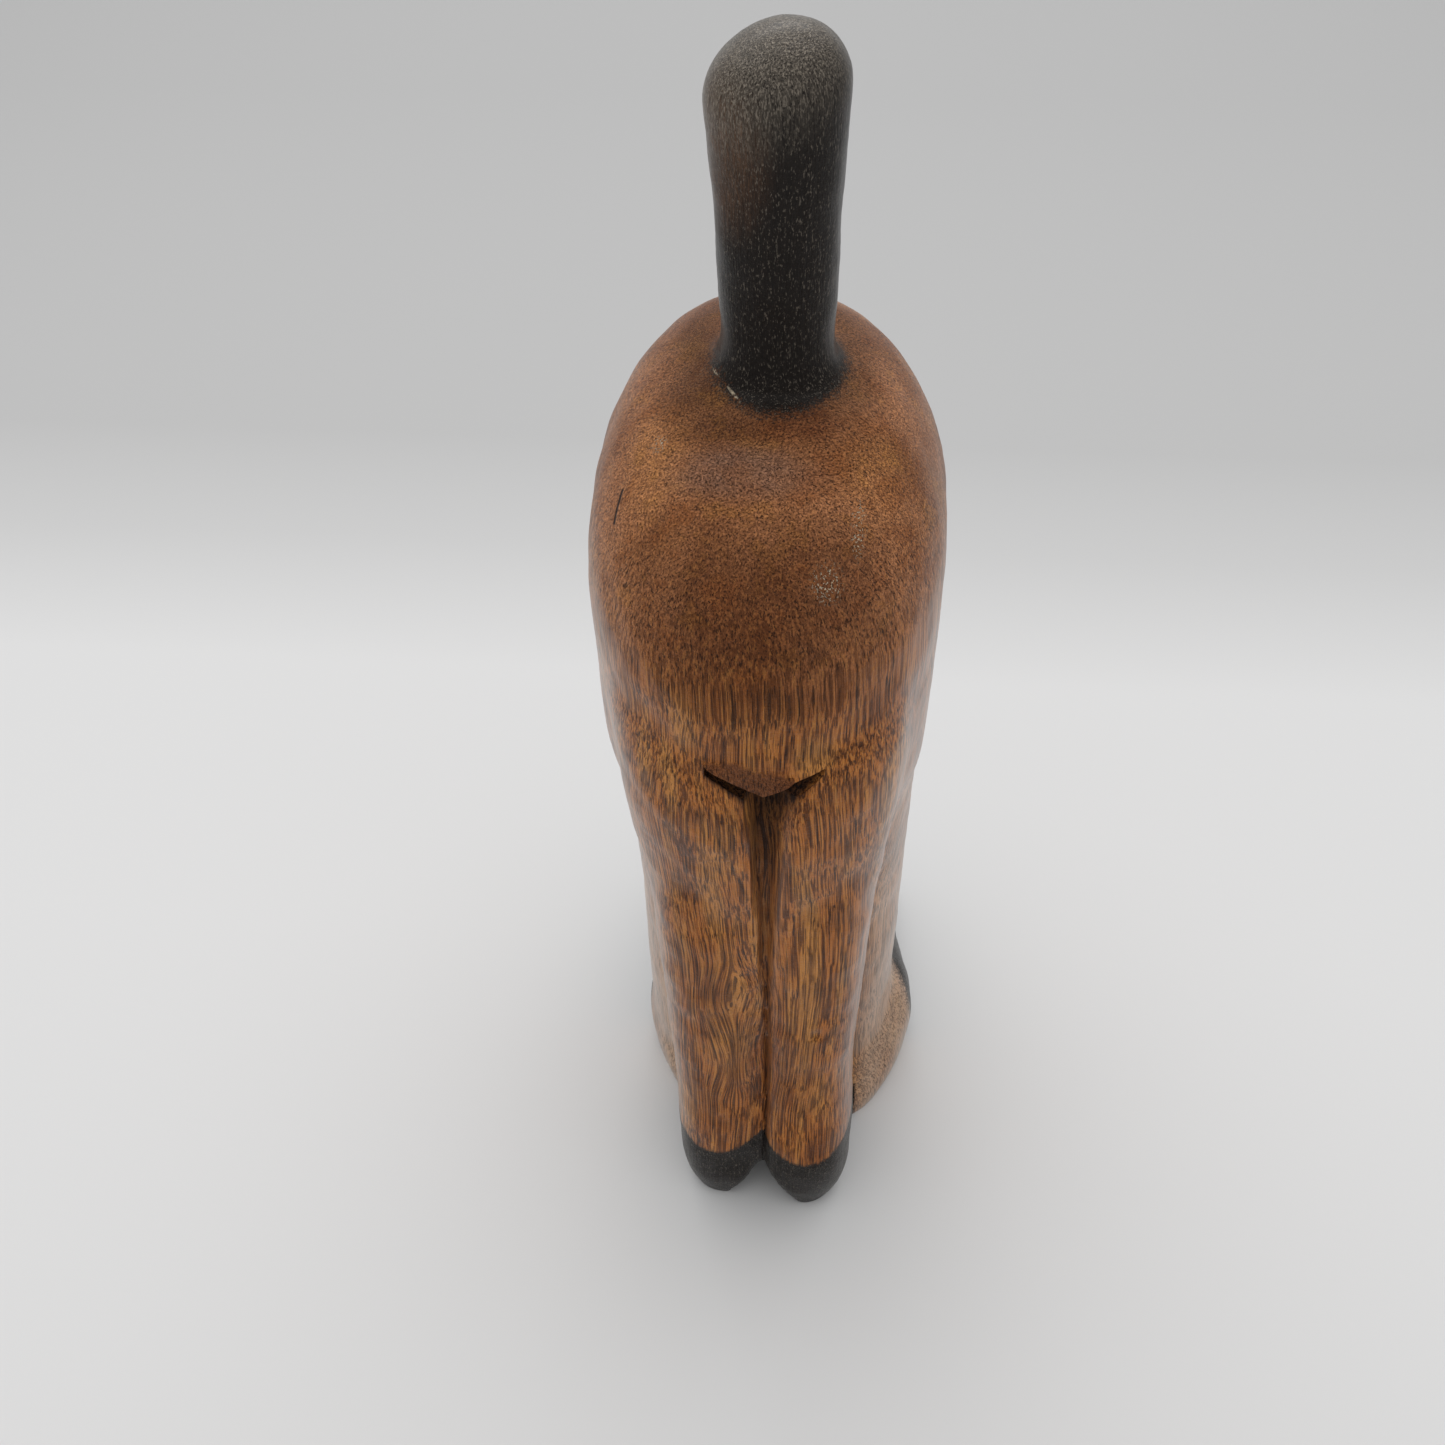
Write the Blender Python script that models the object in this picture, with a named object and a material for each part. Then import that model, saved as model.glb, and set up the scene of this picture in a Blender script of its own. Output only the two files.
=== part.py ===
# A carved wooden cat in a deep bow: tail up, rump high, hind legs straight and side by side, and the
# trunk dropping in front of them to the forelegs and the head, which lie on the floor.
# Metres, +Z up. The cat faces -Y and stands on z = 0. Its halves match but for the hand-cut lean of the
# trunk, the slant of the tail's tip and the broader right hind paw.
# Depths below run forward from the back of the hind paws, and heights run up from the floor.

import bmesh
import bpy
import numpy as np
from mathutils import Vector

# Tail
TAIL_TOP = 0.2870
TAIL_ROOT = 0.2265
TAIL_DEPTH = 0.0365
TAIL_WIDTH = 0.0236
TAIL_THICKNESS = 0.0215
TAIL_TAPER = 0.0050
TAIL_FLARE = 0.0030
TAIL_FLARE_HEIGHT = 0.012
TAIL_FLARE_CURVE = 2.2
TAIL_FLARE_REACH = 1.4
TAIL_SLANT = 0.0028
TAIL_LEAN = -0.0007
TAIL_TIP = 0.0109
TAIL_TIP_ROUNDNESS = 2.1
TAIL_TIP_LEAN = 0.0008
TAIL_SINK = 0.0170
TAIL_SQUARENESS = 2.3

# Rump and trunk
RUMP_TOP = 0.2315
RUMP_HEIGHT = 0.190
RUMP_WIDTH = 0.0670
RUMP_BACK = -0.0120
RUMP_FRONT = 0.0820
CROWN_DEPTH = 0.0500
CROWN_ROUNDNESS = 2.6
FOLD_HEIGHT = 0.156
FOLD_BACK = -0.0060
HOLLOW_HEIGHT = 0.124
HOLLOW_BACK = 0.0150
FLANK_HEIGHT = 0.070
FLANK_WIDTH = 0.0670
FLANK_BACK = 0.0270
CHEST_FRONT = 0.0850
TRUNK_SQUARENESS = 2.3
TRUNK_LEAN = 0.0006

# Hind legs
THIGH_HEIGHT = 0.172
THIGH_WIDTH = 0.0280
THIGH_BACK = -0.0095
KNEE_HEIGHT = 0.118
KNEE_WIDTH = 0.0245
KNEE_BACK = -0.0022
SHIN_HEIGHT = 0.055
SHIN_WIDTH = 0.0228
SHIN_BACK = 0.0002
LEG_FRONT = 0.0300
LEG_SQUARENESS = 2.6
PAW_HEIGHT = 0.011
PAW_WIDTH = 0.0222
PAW_BACK = -0.0022
PAW_STAGGER = 0.0012
PAW_UNEVEN = 0.0019
PAW_ROUND = 0.0025
LEG_TUCK = 0.006
LEG_OVERLAP = 0.0012

# Notch under the rump, groove down the hind legs, and gap between the hind paws
NOTCH_HEIGHT = 0.1698
NOTCH_RISE = 0.0063
NOTCH_WIDTH = 0.0216
NOTCH_CUT = 0.0055
NOTCH_BACK = -0.0078
NOTCH_LENGTH = 0.0100
GROOVE_WIDTH = 0.0110
GROOVE_CUT = 0.0046
GROOVE_BACK = -0.0075
GROOVE_END = 0.0850
GROOVE_SIDE = -0.0012
CREASE_WIDTH = 0.0034
CREASE_CUT = 0.0030
CREASE_LAP = 0.0020
PAW_GAP_WIDTH = 0.0147
PAW_GAP_HEIGHT = 0.0160
PAW_GAP_DEPTH = 0.0120
TRENCH_LAP = 0.0003

# Forelegs
ELBOW_DEPTH = 0.0540
ELBOW_SPREAD = 0.0755
ELBOW_HEIGHT = 0.0280
UPPER_ARM_DEPTH = 0.0400
UPPER_ARM_SPREAD = 0.0660
UPPER_ARM_HEIGHT = 0.0180
FORELEG_BACK = 0.0200
FORELEG_BACK_SPREAD = 0.0400
FORELEG_BACK_HEIGHT = 0.0060
FORELEG_WIDTH = 0.0260
WRIST_DEPTH = 0.0800
WRIST_SPREAD = 0.0675
WRIST_HEIGHT = 0.0230
FOREPAW_DEPTH = 0.1000
FOREPAW_SPREAD = 0.0640
FOREPAW_HEIGHT = 0.0170
FOREPAW_FRONT = 0.1150
FORELEG_ROUND = 0.0120
FORELEG_LEAN = -0.0025
FORELEG_SQUARENESS = 2.2
SKIRT_HEIGHT = 0.0450
SKIRT_WIDTH = 0.0740
SKIRT_BACK = 0.0300
SKIRT_TUCK = 0.0030

# Head
HEAD_DEPTH = 0.0870
HEAD_HEIGHT = 0.0440
HEAD_WIDTH = 0.0540
HEAD_LENGTH = 0.0480
HEAD_DROP = 0.0480
MUZZLE_DEPTH = 0.1035
MUZZLE_HEIGHT = 0.0335
MUZZLE_WIDTH = 0.0310
MUZZLE_LENGTH = 0.0270
MUZZLE_DROP = 0.0260
NECK_DEPTH = 0.0740
NECK_HEIGHT = 0.0560
NECK_WIDTH = 0.0500
NECK_LENGTH = 0.0440
NECK_DROP = 0.0500
EAR_SPREAD = 0.0330
EAR_TIP = 0.0840
EAR_WIDTH = 0.0220
EAR_THICKNESS = 0.0110
EAR_DEPTH = 0.0930
EAR_TURN_OUT = 0.0020
EAR_SHARPNESS = 0.86
EAR_CURVE = 1.6
EAR_TAPER = 0.8

# How finely the wood is modelled, and how soft the carved joins are
SIDES = 48
STEPS = 40
POLE_GAP = 0.06
LEAST_SHARE = 0.02
GRAIN = 0.0020
BLEND_PASSES = 9
TRIANGLES = 11400
BELOW = 0.006
REACH = 0.030


def backward(depth):
    """World Y of a depth, before the figure is centred over the origin."""
    return -depth


def smooth_through(heights, values, at):
    """A smooth curve through a few stations, with level tangents where the values turn."""
    heights, values = np.asarray(heights, float), np.asarray(values, float)
    slope = np.diff(values) / np.diff(heights)
    tangent = np.zeros(len(values))
    tangent[0], tangent[-1] = slope[0], slope[-1]
    same = slope[1:] * slope[:-1] > 0
    mean = 2 * slope[1:] * slope[:-1] / np.where(same, slope[1:] + slope[:-1], 1)
    tangent[1:-1] = np.where(same, mean, 0)
    i = np.clip(np.searchsorted(heights, at) - 1, 0, len(slope) - 1)
    step = heights[i + 1] - heights[i]
    t = (at - heights[i]) / step
    start = (1 + 2 * t) * (1 - t) ** 2 * values[i] + t * (1 - t) ** 2 * step * tangent[i]
    end = t**2 * (3 - 2 * t) * values[i + 1] + t**2 * (t - 1) * step * tangent[i + 1]
    return start + end


def loft(work, rings):
    """Bridge closed rings of points into one closed skin, capped at both ends."""
    loops = []
    for ring in rings:
        loops.append([work.verts.new(point) for point in ring])
    for lower, upper in zip(loops, loops[1:]):
        for k in range(SIDES):
            n = (k + 1) % SIDES
            work.faces.new((lower[k], lower[n], upper[n], upper[k]))
    work.faces.new(list(reversed(loops[0])))
    work.faces.new(loops[-1])


def oval(squareness):
    """Unit superellipse, counterclockwise."""
    angle = np.linspace(0, 2 * np.pi, SIDES, endpoint=False)
    c, s = np.cos(angle), np.sin(angle)
    return np.sign(c) * abs(c) ** (2 / squareness), np.sign(s) * abs(s) ** (2 / squareness)


def upright(work, heights, backs, fronts, middles, widths, squareness, slopes=None):
    """A form standing on end: slices given by their back, front, middle, width and sideways slope."""
    along, across = oval(squareness)
    slopes = 0 * heights if slopes is None else slopes
    rings = []
    for z, back, front, middle, width, slope in zip(heights, backs, fronts, middles, widths, slopes):
        x = middle + width / 2 * across
        y = backward((back + front) / 2 + (front - back) / 2 * along)
        rings.append([Vector((a, b, z - slope * (a - middle))) for a, b in zip(x, y)])
    loft(work, rings)


def ball(work, centre, size, squareness=2.0):
    """An egg-shaped form: level slices of an ellipsoid."""
    turn = np.linspace(POLE_GAP, np.pi - POLE_GAP, STEPS // 2)
    heights = centre[2] - size[2] / 2 * np.cos(turn)
    share = np.sin(turn)
    backs = centre[1] - size[1] / 2 * share
    fronts = centre[1] + size[1] / 2 * share
    upright(work, heights, backs, fronts, centre[0] + 0 * share, size[0] * share, squareness)


def trunk(work):
    """Rump, back and trunk: level slices up to the rump, and a rounded crown above it."""
    stations = (-BELOW, FLANK_HEIGHT, HOLLOW_HEIGHT, FOLD_HEIGHT, RUMP_HEIGHT)
    heights = np.linspace(-BELOW, RUMP_HEIGHT, STEPS)
    back = (FLANK_BACK, FLANK_BACK, HOLLOW_BACK, FOLD_BACK, RUMP_BACK)
    front = (CHEST_FRONT, CHEST_FRONT, CHEST_FRONT, RUMP_FRONT, RUMP_FRONT)
    width = (FLANK_WIDTH, FLANK_WIDTH, FLANK_WIDTH, RUMP_WIDTH, RUMP_WIDTH)
    backs = smooth_through(stations, back, heights)
    fronts = smooth_through(stations, front, heights)
    widths = smooth_through(stations, width, heights)
    rise = 1 - (1 - np.linspace(0, 1, STEPS)[1:-1]) ** 2
    share = (1 - rise**CROWN_ROUNDNESS) ** (1 / CROWN_ROUNDNESS)
    heights = np.append(heights, RUMP_HEIGHT + rise * (RUMP_TOP - RUMP_HEIGHT))
    backs = np.append(backs, CROWN_DEPTH + (RUMP_BACK - CROWN_DEPTH) * share)
    fronts = np.append(fronts, CROWN_DEPTH + (RUMP_FRONT - CROWN_DEPTH) * share)
    widths = np.append(widths, RUMP_WIDTH * share)
    middles = TRUNK_LEAN * np.clip(heights / RUMP_HEIGHT, 0, 1)
    upright(work, heights, backs, fronts, middles, widths, TRUNK_SQUARENESS)


def haunches(work):
    """Both thighs as one mass, from inside the rump down to the knees."""
    stations = (SHIN_HEIGHT, KNEE_HEIGHT, THIGH_HEIGHT, RUMP_HEIGHT)
    heights = np.linspace(SHIN_HEIGHT, RUMP_HEIGHT, STEPS)
    back = (SHIN_BACK + LEG_TUCK, KNEE_BACK, THIGH_BACK, RUMP_BACK + LEG_TUCK / 2)
    width = (2 * (SHIN_WIDTH - LEG_TUCK), 2 * KNEE_WIDTH, 2 * THIGH_WIDTH, 2 * THIGH_WIDTH)
    backs = smooth_through(stations, back, heights)
    widths = smooth_through(stations, width, heights)
    middles = TRUNK_LEAN * heights / RUMP_HEIGHT
    upright(work, heights, backs, LEG_FRONT + 0 * heights, middles, widths, TRUNK_SQUARENESS)


def hind_leg(work, side):
    """One straight hind leg with its paw, touching the other along the middle."""
    stations = (-BELOW, 0.0, PAW_HEIGHT, SHIN_HEIGHT, KNEE_HEIGHT, THIGH_HEIGHT)
    heights = np.linspace(stations[0], stations[-1], STEPS)
    heel = PAW_BACK + side * PAW_STAGGER
    paw = PAW_WIDTH + (PAW_UNEVEN if side < 0 else 0.0)
    back = (heel + PAW_ROUND, heel + PAW_ROUND / 2, heel, SHIN_BACK, KNEE_BACK, THIGH_BACK + LEG_TUCK)
    width = (paw - 2 * PAW_ROUND, paw - PAW_ROUND, paw, SHIN_WIDTH, KNEE_WIDTH, THIGH_WIDTH - LEG_TUCK)
    backs = smooth_through(stations, back, heights)
    widths = smooth_through(stations, width, heights)
    middles = side * (widths / 2 - LEG_OVERLAP)
    fronts = LEG_FRONT + 0 * heights
    upright(work, heights, backs, fronts, middles, widths + LEG_OVERLAP, LEG_SQUARENESS)


def foreleg(work, side):
    """One foreleg on the floor, from behind its elbow to its paw: upright slices carried forward."""
    stations = (FORELEG_BACK, UPPER_ARM_DEPTH, ELBOW_DEPTH, WRIST_DEPTH, FOREPAW_DEPTH, FOREPAW_FRONT)
    paws = (FOREPAW_SPREAD, FOREPAW_SPREAD)
    spread = (FORELEG_BACK_SPREAD, UPPER_ARM_SPREAD, ELBOW_SPREAD, WRIST_SPREAD) + paws
    paw = (FOREPAW_HEIGHT, FOREPAW_HEIGHT)
    top = (FORELEG_BACK_HEIGHT, UPPER_ARM_HEIGHT, ELBOW_HEIGHT, WRIST_HEIGHT) + paw
    turn = np.linspace(POLE_GAP, np.pi - POLE_GAP, STEPS)
    depths = FORELEG_BACK + (FOREPAW_FRONT - FORELEG_BACK) * (1 - np.cos(turn)) / 2
    outers = smooth_through(stations, spread, depths) / 2
    tops = smooth_through(stations, top, depths)
    nearest = np.minimum(depths - FORELEG_BACK, FOREPAW_FRONT - depths)
    close = np.sqrt(1 - (1 - np.clip(nearest / FORELEG_ROUND, LEAST_SHARE, 1)) ** 2)
    across, upward = oval(FORELEG_SQUARENESS)
    rings = []
    for depth, edge, height, share in zip(depths, outers, tops, close):
        half = FORELEG_WIDTH / 2
        x = FORELEG_LEAN + side * (edge - half) + half * share * across
        z = (height - BELOW) / 2 + (height + BELOW) / 2 * share * upward
        rings.append([Vector((a, backward(depth), b)) for a, b in zip(x, z)])
    loft(work, rings)


def skirt(work):
    """The foot of the trunk, which sweeps outward into the elbows."""
    heights = np.linspace(-BELOW, SKIRT_HEIGHT, STEPS // 2)
    sweep = (1 - np.clip(heights / SKIRT_HEIGHT, 0, 1)) ** 2
    top = FLANK_WIDTH - SKIRT_TUCK
    widths = top + (SKIRT_WIDTH - top) * sweep
    backs = FLANK_BACK + SKIRT_TUCK + (SKIRT_BACK - FLANK_BACK - SKIRT_TUCK) * sweep
    middles = FORELEG_LEAN * sweep
    upright(work, heights, backs, CHEST_FRONT + 0 * heights, middles, widths, TRUNK_SQUARENESS)


def ear(work, side):
    """One pointed ear: slices shrinking to a blunt tip."""
    rise = np.linspace(0, 1, STEPS // 2)
    heights = HEAD_HEIGHT + rise * (EAR_TIP - HEAD_HEIGHT)
    share = (1 - rise**EAR_CURVE * EAR_SHARPNESS) ** EAR_TAPER
    middles = side * (EAR_SPREAD / 2 + EAR_TURN_OUT * rise)
    thick = EAR_THICKNESS * share
    upright(work, heights, EAR_DEPTH - thick / 2, EAR_DEPTH + thick / 2, middles, EAR_WIDTH * share, 2.0)


def tail(work):
    """The upright tail: a flared root, a slight taper and a rounded, slanted tip."""
    stem = np.linspace(RUMP_TOP - TAIL_SINK, TAIL_TOP - TAIL_TIP, STEPS)
    fall = np.clip((TAIL_ROOT + TAIL_FLARE_HEIGHT - stem) / TAIL_FLARE_HEIGHT, 0, TAIL_FLARE_REACH)
    grow = 2 * TAIL_FLARE * fall**TAIL_FLARE_CURVE
    narrow = TAIL_TAPER * (TAIL_TOP - stem) / (TAIL_TOP - TAIL_ROOT)
    turn = np.linspace(0, np.pi / 2 - POLE_GAP, STEPS // 3)[1:]
    across, upward = np.cos(turn) ** (2 / TAIL_TIP_ROUNDNESS), np.sin(turn) ** (2 / TAIL_TIP_ROUNDNESS)
    heights = np.append(stem, TAIL_TOP - TAIL_TIP + TAIL_TIP * upward)
    widths = np.append(TAIL_WIDTH - narrow + grow, TAIL_WIDTH * across)
    thicks = np.append(TAIL_THICKNESS - narrow + grow, TAIL_THICKNESS * across)
    backs, fronts = TAIL_DEPTH - thicks / 2, TAIL_DEPTH + thicks / 2
    bend = np.clip((heights - TAIL_ROOT) / (TAIL_TOP - TAIL_ROOT), 0, 1) ** 4
    middles = TAIL_LEAN + TAIL_TIP_LEAN * bend
    slopes = 2 * TAIL_SLANT / TAIL_WIDTH * bend
    upright(work, heights, backs, fronts, middles, widths, TAIL_SQUARENESS, slopes)


def new_object(name, work):
    """Put a bmesh into the scene as an object, with its faces turned outward."""
    bmesh.ops.recalc_face_normals(work, faces=work.faces)
    mesh = bpy.data.meshes.new(name)
    work.to_mesh(mesh)
    work.free()
    shape = bpy.data.objects.new(name, mesh)
    bpy.context.scene.collection.objects.link(shape)
    return shape


def cutter(name, points):
    """A wire-only convex block that is cut out of the wood."""
    work = bmesh.new()
    for x, depth, z in points:
        work.verts.new((x, backward(depth), z))
    bmesh.ops.convex_hull(work, input=work.verts)
    block = new_object(name, work)
    block.hide_render = True
    block.display_type = "WIRE"
    return block


def trench(name, side, high, low):
    """Half of a V-shaped trench down the back of the legs: each end is height, half width, cut, surface."""
    points = []
    middle = GROOVE_SIDE - side * TRENCH_LAP
    for height, half, cut, surface, lift in (high, low):
        points.append((middle, surface + cut, height))
        points.append((middle, RUMP_BACK - REACH, height))
        points.append((GROOVE_SIDE + side * half, surface, height + lift))
        points.append((GROOVE_SIDE + side * half, RUMP_BACK - REACH, height + lift))
    return cutter(name, points)


def cutters():
    """The chevron notch, the groove below it, the crease down to the paws and the gap between them."""
    blocks = []
    for label, side in (("left", 1), ("right", -1)):
        notch_top = (NOTCH_HEIGHT, NOTCH_WIDTH / 2, NOTCH_CUT, NOTCH_BACK, NOTCH_RISE)
        notch_end = (NOTCH_HEIGHT - NOTCH_LENGTH, GROOVE_WIDTH / 2, GROOVE_CUT, GROOVE_BACK, 0.0)
        groove_end = (GROOVE_END, CREASE_WIDTH / 2, CREASE_CUT, SHIN_BACK, 0.0)
        crease_end = (PAW_GAP_HEIGHT - CREASE_LAP, CREASE_WIDTH / 2, CREASE_CUT, SHIN_BACK, 0.0)
        blocks.append(trench(f"notch_{label}", side, notch_top, notch_end))
        blocks.append(trench(f"groove_{label}", side, notch_end, groove_end))
        blocks.append(trench(f"crease_{label}", side, groove_end, crease_end))
    half = PAW_GAP_WIDTH / 2
    gap = []
    for x, z in ((-half, -REACH), (half, -REACH), (half, 0.0), (-half, 0.0), (0.0, PAW_GAP_HEIGHT)):
        gap.append((GROOVE_SIDE + x, -REACH, z))
        gap.append((GROOVE_SIDE + x, PAW_GAP_DEPTH, z))
    blocks.append(cutter("paw_gap", gap))
    return blocks


def floor_block():
    """What lies below the floor, so that the figure gets a flat underside."""
    points = []
    for x in (-ELBOW_SPREAD, ELBOW_SPREAD):
        for depth in (RUMP_BACK - REACH, FOREPAW_FRONT + REACH):
            for z in (0.0, -REACH):
                points.append((x, depth, z))
    return cutter("floor_block", points)


def brown_wood():
    """Oiled brown wood; the dark points are painted on it."""
    material = bpy.data.materials.new("oiled_wood")
    material.use_nodes = True
    shader = material.node_tree.nodes["Principled BSDF"]
    shader.inputs["Base Color"].default_value = (0.228, 0.100, 0.044, 1.0)
    shader.inputs["Roughness"].default_value = 0.45
    shader.inputs["Metallic"].default_value = 0.0
    return material


def add(shape, kind, name, **settings):
    """Add one modifier with its settings."""
    modifier = shape.modifiers.new(name, kind)
    for key, value in settings.items():
        setattr(modifier, key, value)
    return modifier


def evaluated_copy(shape):
    """The shape's mesh with its modifiers applied."""
    graph = bpy.context.evaluated_depsgraph_get()
    graph.update()
    return bpy.data.meshes.new_from_object(shape.evaluated_get(graph))


def carve():
    """All the forms grown together into one body, softened where they meet, then cut."""
    work = bmesh.new()
    trunk(work)
    haunches(work)
    tail(work)
    skirt(work)
    for side in (1, -1):
        hind_leg(work, side)
        foreleg(work, side)
        ear(work, side)
    ball(work, (0.0, HEAD_DEPTH, HEAD_HEIGHT), (HEAD_WIDTH, HEAD_LENGTH, HEAD_DROP))
    ball(work, (0.0, NECK_DEPTH, NECK_HEIGHT), (NECK_WIDTH, NECK_LENGTH, NECK_DROP))
    ball(work, (0.0, MUZZLE_DEPTH, MUZZLE_HEIGHT), (MUZZLE_WIDTH, MUZZLE_LENGTH, MUZZLE_DROP))
    figure = new_object("carved_cat", work)
    add(figure, "REMESH", "grow_together", mode="VOXEL", voxel_size=GRAIN, adaptivity=0.0)
    add(figure, "SMOOTH", "soften", factor=0.5, iterations=BLEND_PASSES)
    soft = evaluated_copy(figure)
    share = TRIANGLES / (2 * len(soft.polygons))
    add(figure, "DECIMATE", "thin", ratio=min(1.0, share))
    for block in cutters() + [floor_block()]:
        add(figure, "BOOLEAN", block.name, operation="DIFFERENCE", solver="EXACT", object=block)
    return figure


def settle(figure):
    """Fix the carved mesh and centre it over the origin, standing on the floor."""
    mesh = evaluated_copy(figure)
    figure.modifiers.clear()
    figure.data = mesh
    points = np.empty(len(mesh.vertices) * 3)
    mesh.vertices.foreach_get("co", points)
    points = points.reshape(-1, 3)
    middle = (points.min(0) + points.max(0)) / 2
    points -= (middle[0], middle[1], points[:, 2].min())
    mesh.vertices.foreach_set("co", points.ravel())
    mesh.materials.clear()
    mesh.materials.append(brown_wood())
    mesh.shade_smooth()
    mesh.set_sharp_from_angle(angle=np.radians(38))


def main():
    for old in list(bpy.data.objects):
        bpy.data.objects.remove(old)
    settle(carve())


main()
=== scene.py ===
import bmesh
import bpy
import numpy as np
from mathutils import Matrix, Vector


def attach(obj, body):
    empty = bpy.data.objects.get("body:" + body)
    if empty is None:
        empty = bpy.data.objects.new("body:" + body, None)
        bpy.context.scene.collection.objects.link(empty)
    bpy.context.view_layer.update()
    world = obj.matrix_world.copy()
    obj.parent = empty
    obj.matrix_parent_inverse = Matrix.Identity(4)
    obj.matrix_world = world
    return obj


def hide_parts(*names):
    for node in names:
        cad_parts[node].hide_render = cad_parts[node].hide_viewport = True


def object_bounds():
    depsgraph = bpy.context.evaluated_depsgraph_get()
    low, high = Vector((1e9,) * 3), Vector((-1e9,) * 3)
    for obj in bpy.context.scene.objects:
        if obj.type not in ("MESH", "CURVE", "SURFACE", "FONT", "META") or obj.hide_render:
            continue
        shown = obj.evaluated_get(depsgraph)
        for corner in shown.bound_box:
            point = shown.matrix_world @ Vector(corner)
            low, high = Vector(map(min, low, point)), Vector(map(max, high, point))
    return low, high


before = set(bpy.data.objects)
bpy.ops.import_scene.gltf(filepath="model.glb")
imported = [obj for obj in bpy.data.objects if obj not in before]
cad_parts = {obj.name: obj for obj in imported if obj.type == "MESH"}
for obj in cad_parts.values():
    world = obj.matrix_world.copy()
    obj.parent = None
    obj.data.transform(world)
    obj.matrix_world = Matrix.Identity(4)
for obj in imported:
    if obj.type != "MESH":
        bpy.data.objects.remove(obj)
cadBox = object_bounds()

# A carved wooden cat in a bow. Depths run forward from the back of the hind paws, heights run up from
# the floor, and the cat faces -Y, as in the solid model.

trunkSize = {
    "rumpTop": 0.2315, "rumpHeight": 0.190, "rumpWidth": 0.0670, "rumpBack": -0.0120, "rumpFront": 0.0820,
    "crownDepth": 0.0500, "crownRoundness": 2.6, "foldHeight": 0.156, "foldBack": -0.0060,
    "hollowHeight": 0.124, "hollowBack": 0.0150, "flankHeight": 0.070, "flankWidth": 0.0670,
    "flankBack": 0.0270, "chestFront": 0.0850, "squareness": 2.3, "lean": 0.0006, "below": 0.006,
}
hindLegSize = {
    "thighHeight": 0.172, "thighWidth": 0.0280, "thighBack": -0.0095, "kneeHeight": 0.118,
    "kneeWidth": 0.0245, "kneeBack": -0.0022, "shinHeight": 0.055, "shinWidth": 0.0228, "shinBack": 0.0002,
    "front": 0.0300, "squareness": 2.6, "pawHeight": 0.011, "pawWidth": 0.0222, "pawBack": -0.0022,
    "pawStagger": 0.0012, "pawUneven": 0.0019, "pawRound": 0.0025, "tuck": 0.006, "overlap": 0.0012,
}
foreLegSize = {
    "depths": (0.0200, 0.0400, 0.0540, 0.0800, 0.1000, 0.1150),
    "spreads": (0.0400, 0.0660, 0.0755, 0.0675, 0.0640, 0.0640),
    "heights": (0.0060, 0.0180, 0.0280, 0.0230, 0.0170, 0.0170),
    "width": 0.0260, "round": 0.0120, "lean": -0.0025, "squareness": 2.2,
    "skirtHeight": 0.0450, "skirtWidth": 0.0740, "skirtBack": 0.0300, "skirtTuck": 0.0030,
}
headSize = {
    "skull": ((0.0, 0.0870, 0.0440), (0.0540, 0.0480, 0.0480)),
    "neck": ((0.0, 0.0740, 0.0560), (0.0500, 0.0440, 0.0500)),
    "muzzle": ((0.0, 0.1035, 0.0335), (0.0310, 0.0270, 0.0260)),
    "earSpread": 0.0330, "earTip": 0.0840, "earWidth": 0.0220, "earThickness": 0.0110, "earDepth": 0.0930,
    "earCurve": 1.6, "earSharpness": 0.86, "earTaper": 0.8, "earTurnOut": 0.002,
    "hollowSide": 0.0172, "hollowWidth": 0.0042, "hollowHeight": 0.0660, "hollowLength": 0.0085,
    "hollowCut": 0.0016, "hollowFront": (0.090, 0.095),
}
tailSize = {
    "top": 0.2870, "root": 0.2265, "depth": 0.0365, "width": 0.0236, "thickness": 0.0215, "taper": 0.0050,
    "flare": 0.0030, "flareHeight": 0.012, "slant": 0.0028, "lean": -0.0007, "tip": 0.0109,
    "flareReach": 1.4, "flareCurve": 2.2, "tipRoundness": 2.1, "tipLean": 0.0008, "sink": 0.0170,
    "squareness": 2.3,
}
faceSize = {
    "eyeSide": 0.0112, "eyeHeight": 0.0485, "eyeHalf": 0.0058, "eyeDrop": 0.0028, "noseHeight": 0.0400,
    "noseHalf": 0.0036, "noseDrop": 0.0034, "mouthHeight": 0.0318, "mouthHalf": 0.0066, "mouthDrop": 0.0020,
    "line": 0.0009, "cut": 0.0013, "front": (0.096, 0.100),
}
carving = {
    "sides": 96, "steps": 90, "voxel": 0.00103, "softening": 34, "rounding": 5,
    "waves": ((0.00040, 0.040, 3), (0.00012, 0.011, 8)), "rearDepth": 0.020,
    "notchHeight": 0.1698, "notchRise": 0.0063, "notchWidth": 0.0216, "notchCut": 0.0055, "notchBack": -0.0078,
    "notchWings": ((1, 0.0052, 0.0024), (-1, 0.0100, 0.0014)), "lap": 0.0003,
    "facetProud": 0.0009, "facetLeft": (0.0095, 0.0110), "facetRight": (-0.0060, -0.0040),
    "facetRise": ((-0.0055, -0.0010, 0.0050, 0.0105), (0.0010, 0.0060, 0.0060, 0.0010)),
    "grooveSide": -0.0012,
    "grooveCut": ((0.012, 0.030, 0.090, 0.110, 0.140, 0.170), (0.0012, 0.0016, 0.0017, 0.0024, 0.0038, 0.0052)),
    "leftBank": ((0.030, 0.090, 0.120, 0.170), (0.0010, 0.0011, 0.0019, 0.0034)),
    "rightBank": ((0.030, 0.090, 0.120, 0.145, 0.172), (0.0016, 0.0022, 0.0044, 0.0074, 0.0095)),
    "pawGapWidth": 0.0182, "pawGapHeight": 0.0164, "pawGapDepth": 0.0120,
}


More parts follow.
